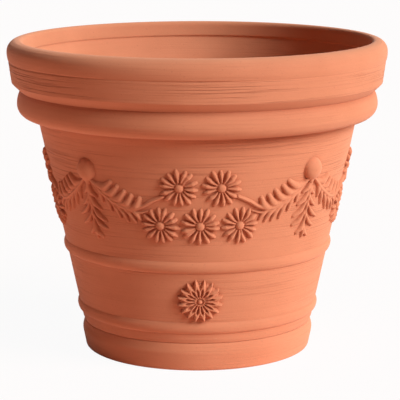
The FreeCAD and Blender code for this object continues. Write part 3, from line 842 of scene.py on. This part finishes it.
def terracotta(name, seed, below, above, change=0.0, soft=1.0, painted_shade=0.0, shelter=0.0):
    """Fired clay: mottled, brushed level, gritty and dull.

    The brush marks show as strongly as below and above say, under and over a height of change. They change
    softly, over a height of soft either way. Places that something nearer than shelter closes in get
    painted
    shade: their colour darkens towards a deep red, up to a share of creased, in place of shade in creases.
    """
    material = bpy.data.materials.new(name)
    nodes = NodeTree(material)
    place = nodes.add("ShaderNodeTexCoord").outputs["Object"]

    def noise(stretch, detail):
        """Noise with so many waves to a metre along X, Y and Z."""
        shift = (seed, 2 * seed, 3 * seed)
        mapping = nodes.add("ShaderNodeMapping", Vector=place, Scale=stretch, Location=shift)
        texture = nodes.add("ShaderNodeTexNoise", Vector=mapping.outputs[0], Scale=1.0, Detail=detail)
        return texture.outputs["Fac"]

    def ranged(value, low, high, to_low, to_high):
        """A value between low and high, brought between two others."""
        node = nodes.add("ShaderNodeMapRange", Value=value)
        for number, limit in enumerate((low, high, to_low, to_high), start=1):
            nodes.feed(node, str(number), limit)
        return node.outputs[0]

    def mixed(share, first, second):
        """A share of the second colour in the first."""
        node = nodes.add("ShaderNodeMix", {"data_type": "RGBA"})
        nodes.feed(node, "0", share)
        nodes.feed(node, "6", first)
        nodes.feed(node, "7", second)
        return node.outputs[2]

    # The brush went over the outside, so the marks are faint on faces that look towards the axis
    height = nodes.add("ShaderNodeSeparateXYZ", Vector=place).outputs["Z"]
    brushed = ranged(height, (change - soft) * MM, (change + soft) * MM, below, above)
    facing = nodes.add("ShaderNodeVectorMath", {"operation": "DOT_PRODUCT"})
    nodes.feed(facing, "0", nodes.add("ShaderNodeNewGeometry").outputs["Normal"])
    nodes.feed(facing, "1", place)
    outward = ranged(facing.outputs["Value"], -0.03, 0.03, 0.12, 1.0)
    brushed = nodes.joined("MULTIPLY", brushed, outward)

    mottle = noise((14, 14, 14), 4)
    bands = noise((7, 7, 110), 4)
    strokes = noise((10, 10, 600), 2)
    patches = noise((8, 8, 34), 2)
    grit = noise((1300, 1300, 1300), 2)
    specks = noise((700, 700, 700), 1)
    lines = ranged(strokes, 0.50, 0.66, 0.0, 1.0)
    scored = nodes.joined("MULTIPLY", lines, ranged(patches, 0.40, 0.62, 0.2, 1.0))
    scored = nodes.joined("MULTIPLY", scored, brushed)

    deep = (0.72, 0.290, 0.149, 1)
    plain = (0.77, 0.322, 0.172, 1)
    pale = (0.82, 0.362, 0.201, 1)
    # The next colour is painted shade, put where surfaces close in
    painted_crease_shade = (0.41, 0.086, 0.030, 1)
    groove = (0.48, 0.148, 0.069, 1)
    light_grain = (0.85, 0.46, 0.29, 1)
    dark_grain = (0.36, 0.105, 0.056, 1)
    colour = mixed(ranged(mottle, 0.32, 0.68, 0.0, 1.0), deep, plain)
    colour = mixed(ranged(bands, 0.40, 0.72, 0.0, 0.25), colour, pale)
    colour = mixed(nodes.joined("MULTIPLY", scored, 0.40), colour, groove)
    colour = mixed(ranged(specks, 0.70, 0.80, 0.0, 0.30), colour, light_grain)
    colour = mixed(ranged(specks, 0.30, 0.22, 0.0, 0.35), colour, dark_grain)
    # Painted shade: an ambient occlusion node darkens the colour where surfaces close in, in creases and
    # under overhangs
    if painted_shade > 0:
        around = nodes.add("ShaderNodeAmbientOcclusion", {"samples": 8}, Distance=shelter * MM)
        colour = mixed(ranged(around.outputs["AO"], 0.35, 0.92, painted_shade, 0.0), colour, painted_crease_shade)

    grain = nodes.joined("MULTIPLY", grit, 0.25)
    uneven = nodes.joined("SUBTRACT", grain, nodes.joined("MULTIPLY", scored, 0.75))
    uneven = nodes.joined("ADD", uneven, nodes.joined("MULTIPLY", bands, 0.12))
    bump = nodes.add("ShaderNodeBump", Strength=1.0, Distance=0.6 * MM, Height=uneven)
    rough = ranged(grit, 0.3, 0.7, 0.60, 0.80)
    clay = nodes.add("ShaderNodeBsdfPrincipled", Base_Color=colour, Roughness=rough, Normal=bump.outputs[0])
    nodes.feed(clay, "Diffuse Roughness", 0.6)
    nodes.feed(clay, "Specular IOR Level", 0.10)
    nodes.feed(clay, "Sheen Weight", 0.08)
    nodes.feed(clay, "Sheen Roughness", 0.7)
    nodes.add("ShaderNodeOutputMaterial", Surface=clay.outputs[0])
    return material


# The stage

def background_rays(nodes):
    """1 for rays that show the background: the camera's, and those mirrored or let through by a surface."""
    path = nodes.add("ShaderNodeLightPath")
    shown = path.outputs["Is Camera Ray"]
    for kind in ("Is Glossy Ray", "Is Transmission Ray"):
        shown = nodes.joined("MAXIMUM", shown, path.outputs[kind])
    return shown


def add_floor():
    """A pale warm floor. The camera sees it nearly white, with the pot's soft shadow on it."""
    reach = 12.0
    whiteness = 0.95
    corners = [(-reach, -reach, 0), (reach, -reach, 0), (reach, reach, 0), (-reach, reach, 0)]
    mesh = bpy.data.meshes.new("stage_floor")
    mesh.from_pydata(corners, [], [(0, 1, 2, 3)])
    floor = bpy.data.objects.new("stage_floor", mesh)
    bpy.context.scene.collection.objects.link(floor)
    material = bpy.data.materials.new("stage_floor")
    nodes = NodeTree(material)
    matt = nodes.add("ShaderNodeBsdfDiffuse", Color=(0.95, 0.57, 0.46, 1))
    white = nodes.add("ShaderNodeEmission", Color=(1, 1, 1, 1), Strength=1.0)
    share = nodes.joined("MULTIPLY", background_rays(nodes), whiteness)
    nodes.add("ShaderNodeOutputMaterial", Surface=nodes.shaded(share, matt, white))
    mesh.materials.append(material)


def add_world():
    """An even soft warm light from all round, and white where the camera looks past the floor."""
    world = bpy.data.worlds.new("studio")
    bpy.context.scene.world = world
    nodes = NodeTree(world)
    soft = nodes.add("ShaderNodeBackground", Color=(1.0, 0.42, 0.32, 1), Strength=0.065)
    white = nodes.add("ShaderNodeBackground", Color=(1, 1, 1, 1), Strength=1.0)
    nodes.add("ShaderNodeOutputWorld", Surface=nodes.shaded(background_rays(nodes), soft, white))


def add_key():
    """The main light, a large soft one on the right."""
    azimuth = 61
    elevation = 30
    breadth = 34
    light = bpy.data.lights.new("key", "SUN")
    light.energy = 4.0
    light.angle = math.radians(breadth)
    lamp = bpy.data.objects.new("key", light)
    lamp.rotation_euler = (math.radians(90 - elevation), 0, math.radians(azimuth))
    bpy.context.scene.collection.objects.link(lamp)


def add_fill():
    """A weak warm light from a card that lies on the floor at the left and faces up."""
    azimuth = -75
    distance = 0.37
    lift = 0.004
    light = bpy.data.lights.new("fill", "AREA")
    light.shape = "RECTANGLE"
    light.size = 0.6
    light.size_y = 0.22
    light.energy = 0.34
    light.color = (1.0, 0.52, 0.42)
    card = bpy.data.objects.new("fill", light)
    turn = math.radians(azimuth)
    card.location = (distance * math.sin(turn), -distance * math.cos(turn), lift)
    card.rotation_euler = (math.radians(180), 0, turn)
    card.visible_camera = False
    bpy.context.scene.collection.objects.link(card)


def add_camera():
    """The camera at the photograph's place: a long lens, a little above the rim, looking down."""
    distance = 1993.2
    height = 535.3
    aside = 2.94
    pitch = 10.79
    azimuth = -1.2
    data = bpy.data.cameras.new("camera")
    data.lens = 170.7
    data.sensor_width = 36.0
    camera = bpy.data.objects.new("camera", data)
    turn = math.radians(azimuth)
    camera.location = (
        (distance * math.sin(turn) + aside * math.cos(turn)) * MM,
        (-distance * math.cos(turn) + aside * math.sin(turn)) * MM,
        height * MM,
    )
    camera.rotation_euler = (math.radians(90 - pitch), 0, turn)
    bpy.context.scene.collection.objects.link(camera)
    bpy.context.scene.camera = camera


# Assembly

# The wall's brush marks grow stronger towards its top, and the collar's fade above its scored line.
# All but the plain clay get painted shade where surfaces close in; on the roll it reaches far, darkening
# its top under the collar
plain_clay = terracotta("terracotta_plain", seed=0.0, below=0.3, above=0.3)
wall_clay = terracotta(
    "terracotta_wall", seed=2.0, below=0.5, above=1.1, change=165.0, soft=35.0,
    painted_shade=0.9, shelter=7.0,
)
collar_clay = terracotta(
    "terracotta_collar", seed=3.0, below=1.2, above=0.25, change=score_line, soft=2.0,
    painted_shade=0.9, shelter=9.0,
)
sprig_clay = terracotta("terracotta_sprig", seed=5.0, below=0.1, above=0.1, painted_shade=0.9, shelter=7.0)
trim_clay = terracotta("terracotta_trim", seed=7.0, below=0.3, above=0.3, painted_shade=0.9, shelter=7.0)
roll_clay = terracotta("terracotta_roll", seed=9.0, below=0.3, above=0.3, painted_shade=1.0, shelter=30.0)

make_saucer(plain_clay)
make_floor(plain_clay)
make_wall(wall_clay)
make_roll(roll_clay)
make_collar(collar_clay)
make_cord("middle_cord", 51, trim_clay)
make_cord("lower_cord", 53, trim_clay)

# Where the seeds of each kind of sprig start
FROND_SEEDS = 100
RIGHT_GARLAND_SEEDS = 200
LEFT_GARLAND_SEEDS = 300
DAISY_SEEDS = 400
for number, (bay, corner) in enumerate(zip(BAYS, BAY_CORNERS)):
    boss_right = f"boss_{corner}"
    boss_left = f"boss_{BAY_CORNERS[number - 1]}"
    make_boss(boss_right, sprig_clay)
    make_frond(f"frond_{corner}", boss_right, FROND_SEEDS + number, sprig_clay)
    make_garland(f"garland_{bay}_right", boss_right, -1, RIGHT_GARLAND_SEEDS + number, sprig_clay)
    make_garland(f"garland_{bay}_left", boss_left, 1, LEFT_GARLAND_SEEDS + number, sprig_clay)
    for place, spot in enumerate(DAISIES):
        make_daisy(f"daisy_{bay}_{spot}", DAISY_SEEDS + 10 * number + place, sprig_clay)
for bay in ROSETTE_BAYS:
    make_rosette(f"rosette_{bay}", sprig_clay)

add_floor()
add_world()
add_key()
add_fill()
add_camera()
bpy.context.scene.view_settings.view_transform = "Standard"
